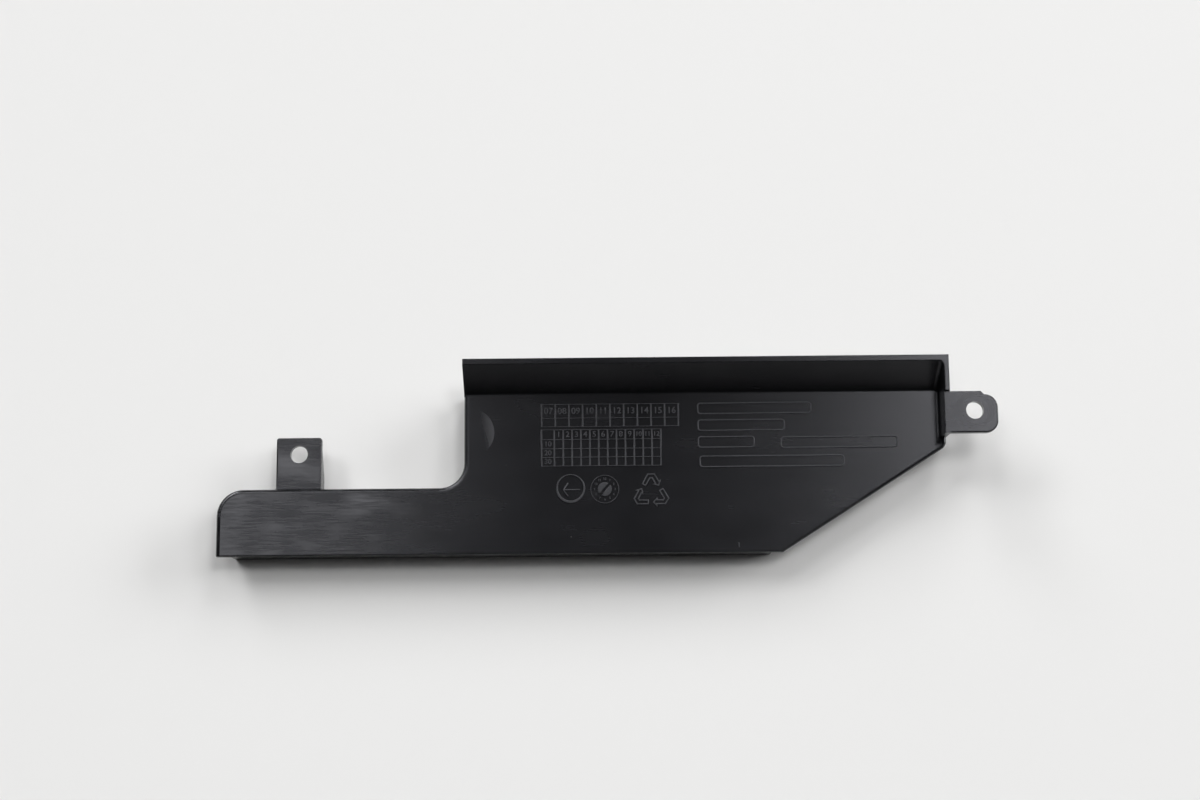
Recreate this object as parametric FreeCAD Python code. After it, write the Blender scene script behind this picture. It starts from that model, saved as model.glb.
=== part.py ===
# Fan duct: one moulded piece, a flat cover on skirts that make an air channel under it.
# x runs right from the open left end, y runs back from the front edge, z runs up from the skirts' feet.
import FreeCAD, Part
import math
import os

# Plate: a narrow arm on the left, a deep body on the right with a slanted front corner
plate_length = 145.2
plate_thickness = 1.5
arm_length = 49.1
arm_depth = 13.35
body_depth = 32.1
slant_run = 33.0
slant_to_tab = 1.75
arm_corner_radius = 5.2
notch_radius = 4.9
slant_corner_radius = 1.8
edge_round = 0.9
slant_edge_round = 0.7
front_edge_round = 0.3

# Skirts and the channel between them
channel_height = 4.6
skirt_foot = 1.1
skirt_draft_deg = 1.0
front_skirt_left_gap = 3.0
front_skirt_right_gap = 2.3
channel_fillet = 0.4

# Rear wall, which leans back, and the nearly upright right wall
wall_height = 6.3
rear_wall_lean = 4.9
rear_wall_rim = 1.35
right_wall_rim = 1.0
right_wall_draft = 0.3
wall_corner_radius = 1.0
wall_base_fillet = 0.5
rim_round = 0.2

# Right tab, level with the step in the right wall's rim
rim_step = 0.6
right_tab_thickness = 1.5
right_tab_reach = 9.4
right_tab_width = 8.3
right_tab_gap = 1.25
right_tab_shoulder = 0.65
right_tab_nose_radius = 2.6
right_tab_front_radius = 2.4
right_hole_to_end = 4.55
right_hole_to_front = 4.45

# Left tab, behind the arm and a little below its top, on a gusset at each side
left_tab_drop = 1.5
left_tab_start = 11.5
left_tab_width = 9.0
left_tab_reach = 10.5
left_tab_thickness = 1.5
left_tab_corner_radius = 0.5
left_hole_to_end = 3.35
gusset_thickness = 1.0
gusset_foot_reach = 3.0
gusset_reach = 8.0

# Both tabs; a root fillet takes at most its share of the wall it rises on
hole_diameter = 3.5
tab_edge_round = 0.3
tab_root_fillet = 0.5
root_fillet_share = 0.9

# Places that follow from the sizes above
past = 2.0
near = 0.001
plate_top = channel_height + plate_thickness
rim_top = plate_top + wall_height
step_top = rim_top - rim_step
right_tab_back = body_depth - right_tab_gap
right_tab_front = right_tab_back - right_tab_width
slant_start = plate_length - slant_run
slant_depth = right_tab_front - slant_to_tab
lean_per_height = rear_wall_lean / wall_height
lean_angle = math.atan(lean_per_height)
rim_back = body_depth + rear_wall_lean + rear_wall_rim
skirt_back = body_depth + rear_wall_rim - plate_thickness * lean_per_height
skirt_root = skirt_foot + channel_height * math.tan(math.radians(skirt_draft_deg))
right_tab_end = plate_length + right_tab_reach
right_tab_bottom = step_top - right_tab_thickness
left_tab_end = arm_depth + left_tab_reach
left_tab_right = left_tab_start + left_tab_width
left_tab_top = plate_top - left_tab_drop
left_tab_bottom = left_tab_top - left_tab_thickness
left_root_wall = left_tab_drop - edge_round
left_root_fillet = min(tab_root_fillet, root_fillet_share * left_root_wall)
rim_rounded_off = rim_round * ((1 + math.sin(lean_angle)) / math.cos(lean_angle) - 1)
to_box_centre = FreeCAD.Vector(-right_tab_end / 2, -(rim_back - rim_rounded_off) / 2, 0)


def flat(z):
    """Places profile points in the level plane at height z."""
    return lambda u, v: FreeCAD.Vector(u, v, z)


def upright(x):
    """Places profile points (y, z) in the plane across the length at x."""
    return lambda u, v: FreeCAD.Vector(x, u, v)


def rounded_wire(corners, place):
    """Closed wire through corners (u, v, radius); a radius above zero rounds its corner with an arc."""
    points = [place(u, v) for u, v, radius in corners]
    arcs = []
    for index, corner in enumerate(points):
        radius = corners[index][2]
        before = (points[index - 1] - corner).normalize()
        after = (points[(index + 1) % len(points)] - corner).normalize()
        half_angle = before.getAngle(after) / 2
        reach = radius / math.tan(half_angle)
        inset = radius / math.sin(half_angle) - radius
        middle = corner + (before + after).normalize() * inset
        arcs.append((corner + before * reach, middle, corner + after * reach))
    edges = []
    for index, (start, middle, end) in enumerate(arcs):
        last_end = arcs[index - 1][2]
        if last_end.distanceToPoint(start) > near:
            edges.append(Part.makeLine(last_end, start))
        if corners[index][2] > 0:
            edges.append(Part.Arc(start, middle, end).toShape())
    return Part.Wire(edges)


def prism(corners, place, along):
    """Solid swept straight from a rounded profile."""
    return Part.Face(rounded_wire(corners, place)).extrude(along)


def level_edges(solid, z):
    """Edges that lie in the level plane at height z."""
    return [e for e in solid.Edges if abs(e.BoundBox.ZMin - z) < near and abs(e.BoundBox.ZMax - z) < near]


def make_cover():
    """Plate with the skirts' full depth below it, before the channel is cut."""
    corners = [
        (0, 0, 0),
        (slant_start, 0, 0),
        (plate_length, slant_depth, slant_corner_radius),
        (plate_length, skirt_back, 0),
        (arm_length, skirt_back, 0),
        (arm_length, arm_depth, notch_radius),
        (0, arm_depth, arm_corner_radius),
    ]
    cover = prism(corners, flat(0), FreeCAD.Vector(0, 0, plate_top))
    arm_edges = [e for e in level_edges(cover, plate_top) if e.BoundBox.XMax < arm_length + near]
    cover = cover.makeFillet(edge_round, arm_edges)
    slant_edges = [e for e in level_edges(cover, plate_top) if e.BoundBox.XMin > slant_start - near]
    cover = cover.makeFillet(slant_edge_round, slant_edges)
    front_edges = [e for e in level_edges(cover, plate_top) if e.BoundBox.YMax < near]
    return cover.makeFillet(front_edge_round, front_edges)


def channel_wire(skirt, z):
    """Plan of the air channel at height z, open at the left end and along the slanted side."""
    return rounded_wire([
        (-past, -past, 0),
        (front_skirt_left_gap, -past, 0),
        (front_skirt_left_gap, skirt, 0),
        (slant_start - front_skirt_right_gap, skirt, 0),
        (slant_start - front_skirt_right_gap, -past, 0),
        (plate_length + past, -past, 0),
        (plate_length + past, right_tab_front, 0),
        (plate_length - skirt, right_tab_front, 0),
        (plate_length - skirt, skirt_back - skirt, 0),
        (arm_length + skirt, skirt_back - skirt, 0),
        (arm_length + skirt, arm_depth - skirt, notch_radius + skirt),
        (arm_corner_radius, arm_depth - skirt, 0),
        (arm_corner_radius, arm_depth + past, 0),
        (-past, arm_depth + past, 0),
    ], flat(z))


def make_channel():
    """Air space under the plate, a little narrower at the top than at the feet, with rounded upper edges."""
    sections = [channel_wire(skirt_foot, 0), channel_wire(skirt_root, channel_height)]
    channel = Part.makeLoft(sections, True, True)
    return channel.makeFillet(channel_fillet, level_edges(channel, channel_height))


def make_tray_space():
    """Air space over the plate, in front of the leaning rear wall and left of the right wall."""
    top = rim_top + past
    back_at_top = body_depth + (top - plate_top) * lean_per_height
    inner_base = plate_length - right_wall_rim - right_wall_draft
    inner_top = inner_base + (top - plate_top) * right_wall_draft / wall_height

    def section(z, inner, back):
        return rounded_wire([
            (arm_length - past, right_tab_front - past, 0),
            (inner, right_tab_front - past, 0),
            (inner, back, 0),
            (arm_length - past, back, 0),
        ], flat(z))

    space = Part.makeLoft([section(plate_top, inner_base, body_depth), section(top, inner_top, back_at_top)],
                          True, True)
    corner = [e for e in space.Edges
              if e.BoundBox.ZLength > wall_height and e.BoundBox.XMax > inner_top - near
              and e.BoundBox.YMax > back_at_top - near]
    space = space.makeFillet(wall_corner_radius, corner)
    base = [e for e in level_edges(space, plate_top)
            if e.BoundBox.XMax > arm_length and e.BoundBox.YMax > right_tab_front]
    return space.makeFillet(wall_base_fillet, base)


def make_notch_edge_space():
    """Room along the notch for the plate's round edge, up to the foot of the rear wall."""
    start = FreeCAD.Vector(arm_length - past, right_tab_front - past, channel_height - past)
    depth = body_depth - wall_base_fillet - start.y
    return Part.makeBox(past + edge_round, depth, plate_top - start.z, start)


def make_walls():
    """Rear and right walls in one, with a step in the rim and clear of the plate's round edge at the notch."""
    corners = [
        (right_tab_front, channel_height, 0),
        (right_tab_front, step_top, 0),
        (right_tab_back, step_top, 0),
        (right_tab_back, rim_top, 0),
        (rim_back, rim_top, 0),
        (skirt_back, channel_height, 0),
    ]
    block = prism(corners, upright(arm_length), FreeCAD.Vector(plate_length - arm_length, 0, 0))
    walls = block.cut([make_tray_space(), make_notch_edge_space()])
    return walls.makeFillet(rim_round, level_edges(walls, rim_top))


def make_tab(corners, bottom, thickness, root_edges):
    """Flat tab with its free top edges rounded; root_edges picks the edges that stay sharp."""
    tab = prism(corners, flat(bottom), FreeCAD.Vector(0, 0, thickness))
    free = [e for e in level_edges(tab, bottom + thickness) if not root_edges(e.BoundBox)]
    return tab.makeFillet(tab_edge_round, free)


def make_right_tab():
    """Tab that stands out from the right wall, with a small shoulder and a rounded nose."""
    root = plate_length - right_wall_rim / 2
    nose_back = right_tab_back - right_tab_shoulder
    nose_start = right_tab_end - right_tab_nose_radius
    corners = [
        (root, right_tab_front, 0),
        (right_tab_end, right_tab_front, right_tab_front_radius),
        (right_tab_end, nose_back, right_tab_nose_radius),
        (nose_start, nose_back, 0),
        (nose_start - right_tab_shoulder, right_tab_back, 0),
        (root, right_tab_back, 0),
    ]
    return make_tab(corners, right_tab_bottom, right_tab_thickness, lambda box: box.XMax < root + near)


def make_left_tab():
    """Tab that stands back from the arm's rear skirt, on gussets that come down to the floor at the skirt."""
    root = arm_depth - skirt_foot / 2
    corners = [
        (left_tab_start, root, 0),
        (left_tab_right, root, 0),
        (left_tab_right, left_tab_end, left_tab_corner_radius),
        (left_tab_start, left_tab_end, left_tab_corner_radius),
    ]
    tab = make_tab(corners, left_tab_bottom, left_tab_thickness, lambda box: box.YMax < root + near)
    gusset = [
        (root, 0, 0),
        (arm_depth + gusset_foot_reach, 0, 0),
        (arm_depth + gusset_reach, left_tab_bottom, 0),
        (root, left_tab_bottom, 0),
    ]
    across = FreeCAD.Vector(gusset_thickness, 0, 0)
    gussets = [prism(gusset, upright(x), across) for x in (left_tab_start, left_tab_right - gusset_thickness)]
    return tab.fuse(gussets)


def hole(x, y, bottom, thickness):
    """Screw hole through a tab."""
    return Part.makeCylinder(hole_diameter / 2, thickness + 2 * past, FreeCAD.Vector(x, y, bottom - past))


def round_tab_roots(body):
    """Fillets where the right tab's underside meets its wall and the left tab's top meets its skirt."""
    right_root = [e for e in level_edges(body, right_tab_bottom)
                  if e.BoundBox.XLength < near and abs(e.BoundBox.XMax - plate_length) < near]
    left_root = [e for e in level_edges(body, left_tab_top)
                 if e.BoundBox.YLength < near and abs(e.BoundBox.YMax - arm_depth) < near]
    body = body.makeFillet(tab_root_fillet, right_root)
    return body.makeFillet(left_root_fillet, left_root)


def make_fan_duct():
    """Whole moulding, with its origin at the bottom centre of its box."""
    body = make_cover().cut(make_channel())
    body = body.fuse([make_walls(), make_right_tab(), make_left_tab()]).removeSplitter()
    body = round_tab_roots(body)
    right_x = right_tab_end - right_hole_to_end
    right_y = right_tab_front + right_hole_to_front
    left_x = left_tab_start + left_tab_width / 2
    left_y = left_tab_end - left_hole_to_end
    right_hole = hole(right_x, right_y, right_tab_bottom, right_tab_thickness)
    left_hole = hole(left_x, left_y, left_tab_bottom, left_tab_thickness)
    body = body.cut([right_hole, left_hole])
    body.translate(to_box_centre)
    return body.Solids[0]


os.makedirs("parts", exist_ok=True)
make_fan_duct().exportStep("parts/fan_duct.step")
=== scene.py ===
"""Looks of the fan duct: satin black moulding, raised mould marks, pale floor, soft light and camera."""
import math

import bmesh
import bpy
from mathutils import Matrix, Vector


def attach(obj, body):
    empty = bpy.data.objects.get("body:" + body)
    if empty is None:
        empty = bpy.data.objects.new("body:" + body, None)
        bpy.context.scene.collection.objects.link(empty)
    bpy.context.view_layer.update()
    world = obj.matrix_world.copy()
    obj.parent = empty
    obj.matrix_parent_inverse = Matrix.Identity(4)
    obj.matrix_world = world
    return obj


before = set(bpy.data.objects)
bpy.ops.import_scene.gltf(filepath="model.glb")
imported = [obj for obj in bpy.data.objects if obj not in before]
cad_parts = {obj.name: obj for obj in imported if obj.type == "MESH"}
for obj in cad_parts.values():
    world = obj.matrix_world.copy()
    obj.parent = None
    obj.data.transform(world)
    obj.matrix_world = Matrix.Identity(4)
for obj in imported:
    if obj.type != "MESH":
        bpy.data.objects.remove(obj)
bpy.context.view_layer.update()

MM = 0.001

# Levels of the plate's top and of the higher tab's top. Sizes and places are in millimetres, unless their
# comment says otherwise
PLATE_TOP = 6.1
TAB_TOP = 11.8

# How far under each top its wear begins to show and is full
PLATE_SKIN = (0.1, 0.05)
TAB_SKIN = (0.2, 0.1)

# Raised marks: how far they stand over the plate and reach into it, the rounding of their numbers' edges,
# the distance within which their points are joined, and the count of points on a circle
MARK_HEIGHT = 0.1
MARK_SINK = 0.03
NUMBER_EDGE = 0.03
WELD = 0.002
CIRCLE_POINTS = 48

# Gloss of all the plastic
GLOSS = 0.52
GLOSS_TINT = (0.93, 0.935, 1.0)

# Plate: roughness, and how much rubbing lines and soft clouds change it; then the two colours and the range
# of the sheen that they paint into the colour
PLATE_ROUGHNESS = 0.26
STREAK_SPREAD = 0.42
BLOTCH_SPREAD = 0.60
DARK_TONE = (0.0012, 0.0012, 0.0014)
LIGHT_TONE = (0.0125, 0.0127, 0.0146)
PAINTED_SHEEN_RANGE = 0.25

# Rubbing lines, clouds and grain: features for each metre, detail, shift of the clouds, and depth of relief
STREAK_SCALE = (240, 2900, 2900)
STREAK_DETAIL = (3.0, 0.6)
BLOTCH_SCALE = (85, 170, 170)
BLOTCH_DETAIL = 1.2
BLOTCH_SHIFT = (0.77, 0, 0)
GRAIN_SCALE = (4200, 4200, 4200)
GRAIN_DETAIL = 2.0
STREAK_DEPTH = 0.0012
GRAIN_DEPTH = 0.0004

# Stretch of the length over which rubbing and clouds fade from the arm to the body, and what is left there
ARM_FADE = (-42, -27)
BODY_RUBBING = 0.04
BODY_CLOUDS = 0.15

# How much the rubbing widens the gloss, and the direction that it widens in
RUBBED = 0.85
WIDENED = (0.02, 1.0, 0.013)

# Crescent scuff on the plate: centre and radius of its sharp edge, how far that fades inwards and outwards,
# and direction and start of its soft side
SCUFF_CENTRE = (-27.19, 5.23)
SCUFF_RADIUS = 4.98
SCUFF_FADE = (0.05, 0.1)
SCUFF_DIRECTION = math.radians(8.7)
SCUFF_START = 2.4
SCUFF_TONE = (0.050, 0.050, 0.054)
SCUFF_ROUGHENING = 0.06

# Rubbed ring that a washer left round the hole of the higher tab
WASHER_CENTRE = (72.75, 7.93)
WASHER_RADII = (2.6, 3.9)
WASHER_FADE = 0.2
WASHER_ROUGHENING = 0.015

# Dust: cells for each metre, size of a speck as a part of its cell, and which cells have one
DUST_SCALE = (170, 170, 170)
DUST_SIZE = (0.012, 0.026)
DUST_CHOICE = (0.5, 0.9)
DUST_TONE = (0.070, 0.069, 0.068)

# Raised marks: roughness and its spread, a paler colour that paints the light their edges catch, grain and
# the grain's depth
MARK_ROUGHNESS = 0.42
MARK_SPREAD = 0.05
MARK_PAINTED_HIGHLIGHT = (0.028, 0.0283, 0.0310)
MARK_GRAIN_SCALE = (2600, 2600, 2600)
MARK_GRAIN_DETAIL = (3.0, 0.6)
MARK_GRAIN_RANGE = (0.3, 0.7)
MARK_GRAIN_DEPTH = 0.006

# Date tables: widths of upright and level lines, rounding of their edges, columns, rows and heights of the
# numbers, which for months are those of one and of two digits
UPRIGHT_LINE = 0.34
LEVEL_LINE = 0.14
TABLE_EDGE = 0.06
YEAR_LEFT = -12.75
YEAR_PITCH = 2.732
YEAR_COUNT = 10
FIRST_YEAR = 7
YEAR_ROWS = (10.80, 8.00, 6.26)
YEAR_SIZE = 1.8
MONTH_LEFT = -12.78
MONTH_FIRST = -10.23
MONTH_PITCH = 1.769
MONTH_ROWS = (5.65, 3.69, 1.84, 0.11, -1.64)
MONTH_SIZES = (1.6, 1.3)
ROW_NUMBERS = (10, 20, 30)
ROW_SIZE = 1.45

# Dial with an arrow: rim of two circles, the inner one set back, and outline of the arrow
ARROW_DIAL = (-7.04, -6.18)
ARROW_RIM = (2.9, 2.52)
ARROW_RIM_SHIFT = 0.16
ARROW_RIM_EDGE = 0.1
POINTER = ((-1.55, -0.2), (-0.62, -1.62), (-0.4, -1.48), (-1.204, -0.31), (1.9, -0.31),
           (1.9, -0.09), (-1.204, -0.09), (-0.4, 1.08), (-0.62, 1.22))
POINTER_EDGE = 0.07

# Dial with numbers: rim, ring of numbers, and the two halves of its slotted insert
NUMBER_DIAL = (-0.26, -6.35)
NUMBER_RIM = (2.85, 2.7)
NUMBER_RIM_EDGE = 0.06
NUMBER_RING = 2.05
NUMBER_SIZE = 0.62
INSERT_RADIUS = 1.4
INSERT_STARTS = (60, 240)
INSERT_TURN = 160
INSERT_EDGE = 0.1

# Recycling sign: centre, line of one bent arrow, widths of its band and head, and width of its outline
SIGN_CENTRE = (8.95, -7.02)
SIGN_BENT = ((-1.475, 1.4), (-0.425, 3.219), (0.425, 3.219), (1.1, 2.05))
SIGN_BAND = 1.0
SIGN_HEAD_LENGTH = 1.0
SIGN_HEAD_WIDTH = 2.0
SIGN_LINE = 0.26
SIGN_EDGE = 0.09

# Blank fields: left, right, front and rear sides, width of their line and radii of their corners
FIELDS = ((18.3, 41.2, 8.5, 10.9), (18.3, 35.8, 5.1, 7.5), (18.3, 29.7, 1.7, 4.1),
          (34.8, 58.2, 1.5, 3.9), (18.6, 47.5, -2.2, 0.2))
FIELD_LINE = 0.3
FIELD_RADII = (0.7, 0.4)
FIELD_EDGE = 0.12

# Small nick near the front edge: two corners and the radius of its outline
NICK = (25.98, -18.2, 26.28, -17.15)
NICK_RADIUS = 0.14
NICK_EDGE = 0.12

# Floor: colour, and how far it reaches in metres
FLOOR_TONE = (0.83, 0.828, 0.822)
FLOOR_ROUGHNESS = 0.9
FLOOR_REACH = 6.0

# Broad lamps: name, azimuth and elevation in degrees, watts and width; their height and distance in metres
BROAD_LAMPS = (("low_right", 66, 15, 590.0, 5.62), ("low_back_right", 18, 18, 127.0, 2.7),
               ("low_back", -29, 19, 245.0, 2.7), ("right", 60, 40, 122.0, 3.22),
               ("back", 18, 32, 118.0, 2.7), ("left", -45, 32, 271.0, 3.9),
               ("high_back", -20, 48, 90.0, 2.25))
BROAD_HEIGHT = 2.05
BROAD_DISTANCE = 9.0

# Small overhead lamps: name, azimuth, elevation and watts; their size and distance in metres
OVERHEAD_LAMPS = (("overhead_right", 47, 65, 3.45), ("overhead_middle", 30, 67, 0.45),
                  ("overhead_left", -71, 75, 0.94), ("overhead_back", -30, 69, 0.42))
OVERHEAD_SIZE = 0.32
OVERHEAD_DISTANCE = 1.4

# Colour and level of the dim room light round the lamps
ROOM_TONE = (1.0, 0.998, 0.99)
ROOM_LEVEL = 0.024

# Camera, as in the photograph: nearly overhead, a little in front
CAMERA_PLACE = (-1.04, -56.09, 390.18)
CAMERA_TILT = math.radians(10.0)
CAMERA_ROLL = 0.0095
CAMERA_LENS = 58.5
SENSOR_WIDTH = 36.0


class Shading:
    """A material's node tree, with short ways to add the nodes used here."""

    def __init__(self, name):
        self.material = bpy.data.materials.new(name)
        self.material.use_nodes = True
        self.nodes = self.material.node_tree.nodes
        self.links = self.material.node_tree.links
        self.shader = self.nodes["Principled BSDF"]
        self.place = self.nodes.new("ShaderNodeTexCoord").outputs["Object"]

    def feed(self, socket, value):
        """Links a node's output to a socket, or sets the socket to a plain value."""
        if isinstance(value, bpy.types.NodeSocket):
            self.links.new(value, socket)
        else:
            socket.default_value = value

    def join(self, operation, first, second):
        """Sum, product or other joining of two values."""
        node = self.nodes.new("ShaderNodeMath")
        node.operation = operation
        self.feed(node.inputs[0], first)
        self.feed(node.inputs[1], second)
        return node.outputs["Value"]

    def spread(self, value, from_low, from_high, to_low=0.0, to_high=1.0):
        """Value carried from one range to another, with eased ends, and held inside it."""
        node = self.nodes.new("ShaderNodeMapRange")
        node.interpolation_type = "SMOOTHSTEP"
        self.feed(node.inputs["Value"], value)
        self.feed(node.inputs["From Min"], from_low)
        self.feed(node.inputs["From Max"], from_high)
        self.feed(node.inputs["To Min"], to_low)
        self.feed(node.inputs["To Max"], to_high)
        return node.outputs["Result"]

    def shifted(self, scale, offset=(0, 0, 0)):
        """Place scaled along each axis, then moved."""
        node = self.nodes.new("ShaderNodeMapping")
        self.feed(node.inputs["Vector"], self.place)
        self.feed(node.inputs["Scale"], scale)
        self.feed(node.inputs["Location"], offset)
        return node.outputs["Vector"]

    def noise(self, scale, detail, roughness=0.5, offset=(0, 0, 0)):
        """Noise with a count of features for each metre along each axis, moved by parts of a feature."""
        node = self.nodes.new("ShaderNodeTexNoise")
        self.feed(node.inputs["Vector"], self.shifted(scale, offset))
        self.feed(node.inputs["Scale"], 1.0)
        self.feed(node.inputs["Detail"], detail)
        self.feed(node.inputs["Roughness"], roughness)
        return node.outputs["Fac"]

    def along(self, direction, origin=(0, 0, 0)):
        """Distance along a direction from an origin, in millimetres."""
        node = self.nodes.new("ShaderNodeVectorMath")
        node.operation = "DOT_PRODUCT"
        self.feed(node.inputs[0], self.shifted((1 / MM,) * 3, tuple(-v for v in origin)))
        self.feed(node.inputs[1], direction)
        return node.outputs["Value"]

    def reach(self, x, y):
        """Distance from an upright line, in millimetres."""
        node = self.nodes.new("ShaderNodeVectorMath")
        node.operation = "LENGTH"
        self.feed(node.inputs[0], self.shifted((1 / MM, 1 / MM, 0), (-x, -y, 0)))
        return node.outputs["Value"]

    def blend(self, amount, first, second):
        """Colour between two colours."""
        node = self.nodes.new("ShaderNodeMix")
        node.data_type = "RGBA"
        self.feed(node.inputs["Factor"], amount)
        for socket, colour in zip([s for s in node.inputs if s.type == "RGBA"], (first, second)):
            self.feed(socket, colour if isinstance(colour, bpy.types.NodeSocket) else (*colour, 1))
        return next(s for s in node.outputs if s.type == "RGBA")

    def bump(self, height, depth, normal=None):
        """Small relief of the given depth in millimetres, over any relief made before."""
        node = self.nodes.new("ShaderNodeBump")
        self.feed(node.inputs["Strength"], 1.0)
        self.feed(node.inputs["Distance"], depth * MM)
        self.feed(node.inputs["Height"], height)
        if normal is not None:
            self.feed(node.inputs["Normal"], normal)
        return node.outputs["Normal"]


def scuff_mask(shading):
    """Crescent on the plate's top: a sharp round edge on one side, fading out on the other."""
    direction = (math.cos(SCUFF_DIRECTION), math.sin(SCUFF_DIRECTION), 0)
    soft = shading.spread(shading.along(direction, (*SCUFF_CENTRE, 0)), SCUFF_START, SCUFF_RADIUS)
    inside, outside = SCUFF_RADIUS - SCUFF_FADE[0], SCUFF_RADIUS + SCUFF_FADE[1]
    sharp = shading.spread(shading.reach(*SCUFF_CENTRE), inside, outside, 1.0, 0.0)
    on_top = shading.spread(shading.along((0, 0, 1)), PLATE_TOP - PLATE_SKIN[0], PLATE_TOP - PLATE_SKIN[1])
    return shading.join("MULTIPLY", shading.join("MULTIPLY", soft, sharp), on_top)


def washer_mask(shading):
    """Ring of rubbing on the higher tab."""
    distance = shading.reach(*WASHER_CENTRE)
    inner = shading.spread(distance, WASHER_RADII[0], WASHER_RADII[0] + WASHER_FADE)
    outer = shading.spread(distance, WASHER_RADII[1] - WASHER_FADE, WASHER_RADII[1], 1.0, 0.0)
    on_top = shading.spread(shading.along((0, 0, 1)), TAB_TOP - TAB_SKIN[0], TAB_TOP - TAB_SKIN[1])
    return shading.join("MULTIPLY", shading.join("MULTIPLY", inner, outer), on_top)


def dust_mask(shading):
    """Sparse specks, about a quarter of a millimetre across."""
    cells = shading.nodes.new("ShaderNodeTexVoronoi")
    shading.feed(cells.inputs["Vector"], shading.shifted(DUST_SCALE))
    shading.feed(cells.inputs["Scale"], 1.0)
    speck = shading.spread(cells.outputs["Distance"], *DUST_SIZE, 1.0, 0.0)
    channels = shading.nodes.new("ShaderNodeSeparateColor")
    shading.feed(channels.inputs["Color"], cells.outputs["Color"])
    return shading.join("MULTIPLY", speck, shading.spread(channels.outputs["Red"], *DUST_CHOICE))


def make_plastic():
    """Satin black plastic with lengthwise rubbing, soft clouds, fine grain, dust and its scuffs; the rubbing
    and clouds also paint sheen into its colour.
    """
    shading = Shading("satin_black_plastic")
    shader = shading.shader
    streaks = shading.join("SUBTRACT", shading.noise(STREAK_SCALE, *STREAK_DETAIL), 0.5)
    blotches = shading.join("SUBTRACT", shading.noise(BLOTCH_SCALE, BLOTCH_DETAIL, offset=BLOTCH_SHIFT), 0.5)
    grain = shading.noise(GRAIN_SCALE, GRAIN_DETAIL)
    scuff = scuff_mask(shading)
    washer = washer_mask(shading)

    # The arm is rubbed and clouded more than the body, and gets more painted sheen in its colour
    length = shading.along((1, 0, 0))
    rubbing = shading.join("MULTIPLY", streaks, shading.spread(length, *ARM_FADE, 1.0, BODY_RUBBING))
    clouds = shading.join("MULTIPLY", blotches, shading.spread(length, *ARM_FADE, 1.0, BODY_CLOUDS))

    # Rubbing and clouds swing the colour between a dark and a light tone: this is painted sheen, while their
    # roughness and relief are real rubbing
    painted_sheen = shading.join("ADD", rubbing, clouds)
    colour = shading.blend(shading.spread(painted_sheen, -PAINTED_SHEEN_RANGE, PAINTED_SHEEN_RANGE), DARK_TONE, LIGHT_TONE)
    colour = shading.blend(scuff, colour, SCUFF_TONE)
    colour = shading.blend(dust_mask(shading), colour, DUST_TONE)
    shading.feed(shader.inputs["Base Color"], colour)

    roughness = shading.join("ADD", shading.join("MULTIPLY", rubbing, STREAK_SPREAD), PLATE_ROUGHNESS)
    roughness = shading.join("ADD", shading.join("MULTIPLY", clouds, BLOTCH_SPREAD), roughness)
    scuffed = shading.join("MULTIPLY", scuff, SCUFF_ROUGHENING)
    worn = shading.join("ADD", scuffed, shading.join("MULTIPLY", washer, WASHER_ROUGHENING))
    shading.feed(shader.inputs["Roughness"], shading.join("ADD", roughness, worn))

    shading.feed(shader.inputs["Specular IOR Level"], GLOSS)
    shading.feed(shader.inputs["Specular Tint"], (*GLOSS_TINT, 1))
    shading.feed(shader.inputs["Anisotropic"], RUBBED)
    across = shading.nodes.new("ShaderNodeCombineXYZ")
    for socket, value in zip(across.inputs, WIDENED):
        socket.default_value = value
    shading.feed(shader.inputs["Tangent"], across.outputs["Vector"])

    normal = shading.bump(rubbing, STREAK_DEPTH)
    normal = shading.bump(grain, GRAIN_DEPTH, normal)
    shading.feed(shader.inputs["Normal"], normal)
    return shading.material


def make_mark_plastic():
    """The same plastic where the mould was cut by hand: rougher and grained, and a little paler with painted
    highlight.
    """
    shading = Shading("mark_black_plastic")
    grain = shading.noise(MARK_GRAIN_SCALE, *MARK_GRAIN_DETAIL)
    # The grain mixes the plate's light tone with a paler one, which is painted highlight
    colour = shading.blend(shading.spread(grain, *MARK_GRAIN_RANGE), LIGHT_TONE, MARK_PAINTED_HIGHLIGHT)
    shading.feed(shading.shader.inputs["Base Color"], colour)
    low, high = MARK_ROUGHNESS - MARK_SPREAD, MARK_ROUGHNESS + MARK_SPREAD
    shading.feed(shading.shader.inputs["Roughness"], shading.spread(grain, *MARK_GRAIN_RANGE, low, high))
    shading.feed(shading.shader.inputs["Specular IOR Level"], GLOSS)
    shading.feed(shading.shader.inputs["Specular Tint"], (*GLOSS_TINT, 1))
    shading.feed(shading.shader.inputs["Normal"], shading.bump(grain, MARK_GRAIN_DEPTH))
    return shading.material


def make_floor_material():
    """Plain pale paper without sheen."""
    shading = Shading("pale_floor")
    shading.feed(shading.shader.inputs["Base Color"], (*FLOOR_TONE, 1))
    shading.feed(shading.shader.inputs["Roughness"], FLOOR_ROUGHNESS)
    shading.feed(shading.shader.inputs["Specular IOR Level"], 0.0)
    return shading.material


def raised_mesh(curve, name, edge):
    """Mesh of a flat curve with round edges, pressed to the marks' thickness."""
    curve.dimensions = "2D"
    curve.fill_mode = "BOTH"
    curve.bevel_depth = edge * MM
    curve.bevel_resolution = 2
    holder = bpy.data.objects.new(name + "_outline", curve)
    bpy.context.scene.collection.objects.link(holder)
    bpy.context.view_layer.update()
    mesh = bpy.data.meshes.new_from_object(holder.evaluated_get(bpy.context.evaluated_depsgraph_get()))
    bpy.data.objects.remove(holder)
    mesh.transform(Matrix.Diagonal((1, 1, (MARK_HEIGHT + MARK_SINK) / 2 / edge, 1)))
    return mesh


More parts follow.
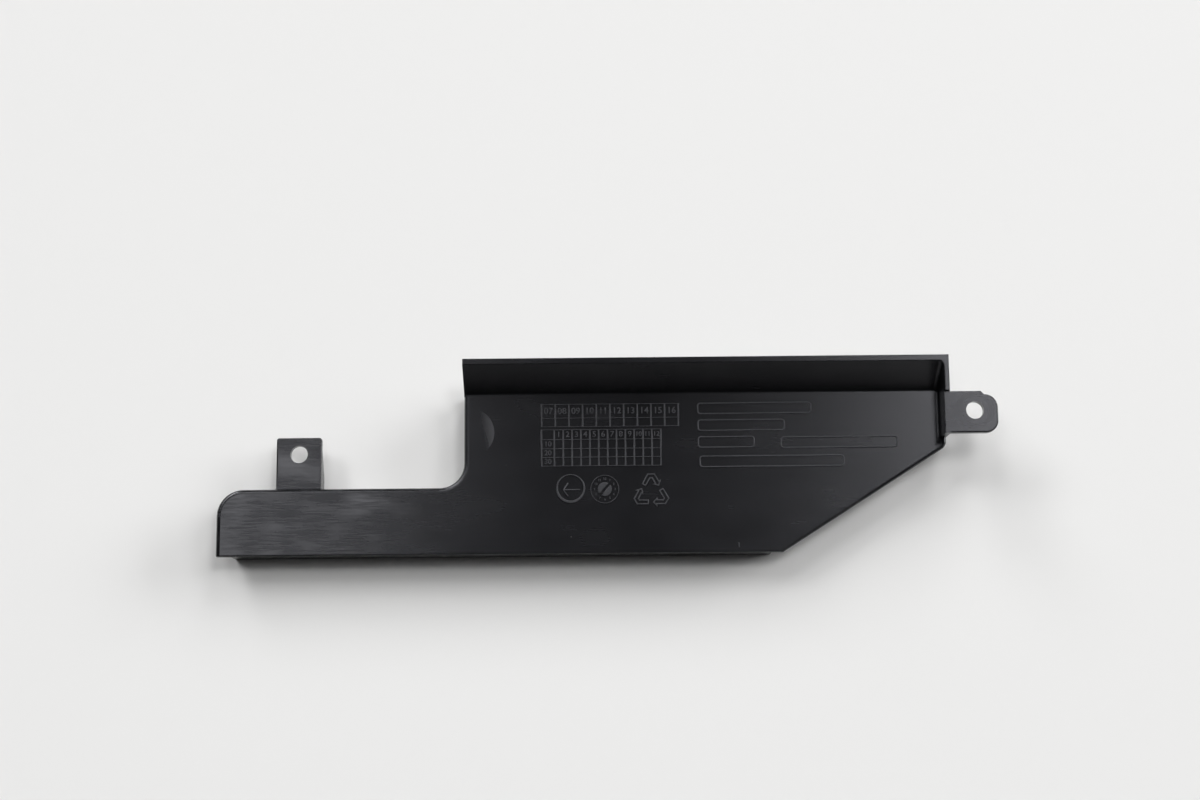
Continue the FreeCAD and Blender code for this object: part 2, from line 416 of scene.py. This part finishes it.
def outline_mesh(loops, edge, name):
    """Relief inside closed loops of (x, y) in millimetres; a loop within a loop is a gap."""
    curve = bpy.data.curves.new(name, "CURVE")
    curve.offset = -edge * MM
    for loop in loops:
        spline = curve.splines.new("POLY")
        spline.points.add(len(loop) - 1)
        for point, (x, y) in zip(spline.points, loop):
            point.co = (x * MM, y * MM, 0, 1)
        spline.use_cyclic_u = True
    return raised_mesh(curve, name, edge)


def number_mesh(text, size, x, y, name):
    """Relief of a plain number centred at (x, y)."""
    curve = bpy.data.curves.new(name, "FONT")
    curve.resolution_u = 3
    curve.body = text
    curve.size = size * MM
    curve.align_x = "CENTER"
    curve.align_y = "CENTER"
    mesh = raised_mesh(curve, name, NUMBER_EDGE)
    mesh.transform(Matrix.Translation((x * MM, y * MM, 0)))
    return mesh


def add_mark(name, meshes, material):
    """Joins meshes into one raised mark on the plate."""
    joined = bmesh.new()
    for mesh in meshes:
        joined.from_mesh(mesh)
        bpy.data.meshes.remove(mesh)
    bmesh.ops.remove_doubles(joined, verts=joined.verts, dist=WELD * MM)
    bmesh.ops.recalc_face_normals(joined, faces=joined.faces)
    middle = PLATE_TOP + (MARK_HEIGHT - MARK_SINK) / 2
    bmesh.ops.translate(joined, verts=joined.verts, vec=(0, 0, middle * MM))
    mesh = bpy.data.meshes.new(name)
    joined.to_mesh(mesh)
    joined.free()
    mesh.materials.append(material)
    mark = bpy.data.objects.new(name, mesh)
    bpy.context.scene.collection.objects.link(mark)
    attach(mark, "root")


def rectangle(x0, y0, x1, y1):
    """Loop round a rectangle with square corners."""
    return [(x0, y0), (x1, y0), (x1, y1), (x0, y1)]


def arc(x, y, radius, start, end, steps):
    """Points on a circle from one angle to another, in degrees."""
    angles = [math.radians(start + (end - start) * k / steps) for k in range(steps + 1)]
    return [(x + radius * math.cos(a), y + radius * math.sin(a)) for a in angles]


def circle(x, y, radius):
    """Loop of points round a circle."""
    return arc(x, y, radius, 0, 360 - 360 / CIRCLE_POINTS, CIRCLE_POINTS - 1)


def rounded(x0, y0, x1, y1, radius):
    """Loop round a rectangle with rounded corners."""
    corners = ((x1 - radius, y1 - radius), (x0 + radius, y1 - radius),
               (x0 + radius, y0 + radius), (x1 - radius, y0 + radius))
    return [p for k, (x, y) in enumerate(corners) for p in arc(x, y, radius, 90 * k, 90 * k + 90, 6)]


def table_loops(columns, rows):
    """Outer edge of a ruled table and the gaps between its lines."""
    u, v = UPRIGHT_LINE / 2, LEVEL_LINE / 2
    loops = [rectangle(columns[0] - u, rows[-1] - v, columns[-1] + u, rows[0] + v)]
    for left, right in zip(columns, columns[1:]):
        for top, bottom in zip(rows, rows[1:]):
            loops.append(rectangle(left + u, bottom + v, right - u, top - v))
    return loops


def band(points, width):
    """Left and right sides of a band along points, with mitred corners."""
    left, right = [], []
    for index, (x, y) in enumerate(points):
        before = Vector(points[index]) - Vector(points[index - 1]) if index else None
        after = Vector(points[index + 1]) - Vector(points[index]) if index + 1 < len(points) else None
        directions = [d.normalized() for d in (before, after) if d is not None]
        along = sum(directions, Vector((0, 0))).normalized()
        side = Vector((-along.y, along.x))
        reach = width / 2 / side.dot(Vector((-directions[0].y, directions[0].x)))
        left.append((x + side.x * reach, y + side.y * reach))
        right.append((x - side.x * reach, y - side.y * reach))
    return left, right


def arrow(points, width, head_length, head_width):
    """Outline of a band that ends in an arrow head beyond its last point."""
    left, right = band(points, width)
    base = Vector(points[-1])
    along = (base - Vector(points[-2])).normalized()
    side = Vector((-along.y, along.x)) * head_width / 2
    head = [tuple(base + side), tuple(base + along * head_length), tuple(base - side)]
    return left + head + right[::-1]


def inset(loop, gap):
    """Loop that runs a set distance inside another."""
    points = [Vector(p) for p in loop]
    before, after = points[-1:] + points[:-1], points[1:] + points[:1]
    turn = 1 if sum(here.cross(there) for here, there in zip(points, after)) > 0 else -1
    inner = []
    for last, here, there in zip(before, points, after):
        ways = ((here - last).normalized(), (there - here).normalized())
        sides = [Vector((-way.y, way.x)) * turn for way in ways]
        inner.append(tuple(here + (sides[0] + sides[1]) * gap / (1 + sides[0].dot(sides[1]))))
    return inner


def make_year_table(material):
    """Columns of years, a row of numbers over a row of blanks."""
    years = [YEAR_LEFT + YEAR_PITCH * k for k in range(YEAR_COUNT + 1)]
    middle = (YEAR_ROWS[0] + YEAR_ROWS[1]) / 2
    parts = [outline_mesh(table_loops(years, YEAR_ROWS), TABLE_EDGE, "years")]
    for k in range(YEAR_COUNT):
        label = f"{FIRST_YEAR + k:02d}"
        parts.append(number_mesh(label, YEAR_SIZE, years[k] + YEAR_PITCH / 2, middle, "year"))
    add_mark("year_table", parts, material)


def make_month_table(material):
    """A column of row numbers, then twelve months."""
    months = [MONTH_LEFT] + [MONTH_FIRST + MONTH_PITCH * k for k in range(13)]
    middle = (MONTH_ROWS[0] + MONTH_ROWS[1]) / 2
    parts = [outline_mesh(table_loops(months, MONTH_ROWS), TABLE_EDGE, "months")]
    for k in range(12):
        size = MONTH_SIZES[0] if k < 9 else MONTH_SIZES[1]
        parts.append(number_mesh(str(k + 1), size, months[k + 1] + MONTH_PITCH / 2, middle, "month"))
    side = (months[0] + months[1]) / 2
    for number, top, bottom in zip(ROW_NUMBERS, MONTH_ROWS[1:], MONTH_ROWS[2:]):
        parts.append(number_mesh(str(number), ROW_SIZE, side, (top + bottom) / 2, "row"))
    add_mark("month_table", parts, material)


def make_arrow_dial(material):
    """Dial with an arrow; its rim is thicker at the front."""
    x, y = ARROW_DIAL
    rim = [circle(x, y, ARROW_RIM[0]), circle(x, y + ARROW_RIM_SHIFT, ARROW_RIM[1])]
    pointer = [(x + px, y + py) for px, py in POINTER]
    parts = [outline_mesh(rim, ARROW_RIM_EDGE, "rim"), outline_mesh([pointer], POINTER_EDGE, "pointer")]
    add_mark("arrow_dial", parts, material)


def make_number_dial(material):
    """Dial with numbers round a slotted insert."""
    x, y = NUMBER_DIAL
    parts = [outline_mesh([circle(x, y, radius) for radius in NUMBER_RIM], NUMBER_RIM_EDGE, "rim")]
    for start in INSERT_STARTS:
        half = arc(x, y, INSERT_RADIUS, start, start + INSERT_TURN, 18)
        parts.append(outline_mesh([half], INSERT_EDGE, "half"))
    # The numbers run as on a clock
    for k, (nx, ny) in enumerate(arc(x, y, NUMBER_RING, 60, -270, 11)):
        parts.append(number_mesh(str(k + 1), NUMBER_SIZE, nx, ny, "hour"))
    add_mark("number_dial", parts, material)


def make_recycling_sign(material):
    """Three outlined arrows that chase each other round a triangle."""
    parts = []
    for k in range(3):
        turn = Matrix.Rotation(math.radians(-120 * k), 2)
        line = [tuple(Vector(SIGN_CENTRE) + turn @ Vector(p)) for p in SIGN_BENT]
        outer = arrow(line, SIGN_BAND, SIGN_HEAD_LENGTH, SIGN_HEAD_WIDTH)
        parts.append(outline_mesh([outer, inset(outer, SIGN_LINE)], SIGN_EDGE, "chase"))
    add_mark("recycling_sign", parts, material)


def make_blank_fields(material):
    """Four lines of plain blank fields."""
    parts = []
    for x0, x1, y0, y1 in FIELDS:
        outer = rounded(x0, y0, x1, y1, FIELD_RADII[0])
        inner = rounded(x0 + FIELD_LINE, y0 + FIELD_LINE, x1 - FIELD_LINE, y1 - FIELD_LINE, FIELD_RADII[1])
        parts.append(outline_mesh([outer, inner], FIELD_EDGE, "field"))
    add_mark("blank_fields", parts, material)


def make_marks(material):
    """Marks that the mould left raised on the plate."""
    make_year_table(material)
    make_month_table(material)
    make_arrow_dial(material)
    make_number_dial(material)
    make_recycling_sign(material)
    make_blank_fields(material)
    add_mark("edge_nick", [outline_mesh([rounded(*NICK, NICK_RADIUS)], NICK_EDGE, "nick")], material)


def make_floor(material):
    """Level floor under the feet."""
    mesh = bpy.data.meshes.new("floor")
    corners = rectangle(-FLOOR_REACH, -FLOOR_REACH, FLOOR_REACH, FLOOR_REACH)
    mesh.from_pydata([(x, y, 0) for x, y in corners], [], [(0, 1, 2, 3)])
    mesh.materials.append(material)
    floor = bpy.data.objects.new("floor", mesh)
    bpy.context.scene.collection.objects.link(floor)


def soft_box(name, azimuth, elevation, power, width, height, distance):
    """Area lamp that faces the object; azimuth is measured from straight behind, to the right."""
    lamp = bpy.data.lights.new(name, "AREA")
    lamp.shape = "RECTANGLE"
    lamp.size = width
    lamp.size_y = height
    lamp.energy = power
    holder = bpy.data.objects.new(name, lamp)
    a, e = math.radians(azimuth), math.radians(elevation)
    place = Vector((math.sin(a) * math.cos(e), math.cos(a) * math.cos(e), math.sin(e))) * distance
    holder.location = place
    holder.rotation_mode = "QUATERNION"
    holder.rotation_quaternion = (-place).to_track_quat("-Z", "Y")
    holder.visible_camera = False
    bpy.context.scene.collection.objects.link(holder)


def make_lights():
    """Broad soft boxes behind and at the sides, and small lamps overhead."""
    for name, azimuth, elevation, power, width in BROAD_LAMPS:
        soft_box(name, azimuth, elevation, power, width, BROAD_HEIGHT, BROAD_DISTANCE)
    for name, azimuth, elevation, power in OVERHEAD_LAMPS:
        soft_box(name, azimuth, elevation, power, OVERHEAD_SIZE, OVERHEAD_SIZE, OVERHEAD_DISTANCE)


def make_world():
    """Dim, even room light."""
    world = bpy.data.worlds.new("room")
    bpy.context.scene.world = world
    world.use_nodes = True
    background = world.node_tree.nodes["Background"]
    background.inputs["Color"].default_value = (*ROOM_TONE, 1)
    background.inputs["Strength"].default_value = ROOM_LEVEL


def make_camera():
    """Camera at the photograph's place."""
    data = bpy.data.cameras.new("camera")
    data.lens = CAMERA_LENS
    data.sensor_width = SENSOR_WIDTH
    data.clip_start = 0.01
    data.clip_end = 50
    camera = bpy.data.objects.new("camera", data)
    bpy.context.scene.collection.objects.link(camera)
    place = Matrix.Translation(Vector(CAMERA_PLACE) * MM)
    camera.matrix_world = place @ Matrix.Rotation(CAMERA_TILT, 4, "X") @ Matrix.Rotation(-CAMERA_ROLL, 4, "Z")
    bpy.context.scene.camera = camera


plastic = make_plastic()
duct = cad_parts["fan_duct"]
duct.data.materials.clear()
duct.data.materials.append(plastic)
make_marks(make_mark_plastic())
make_floor(make_floor_material())
make_lights()
make_world()
make_camera()
bpy.context.scene.view_settings.view_transform = "Standard"
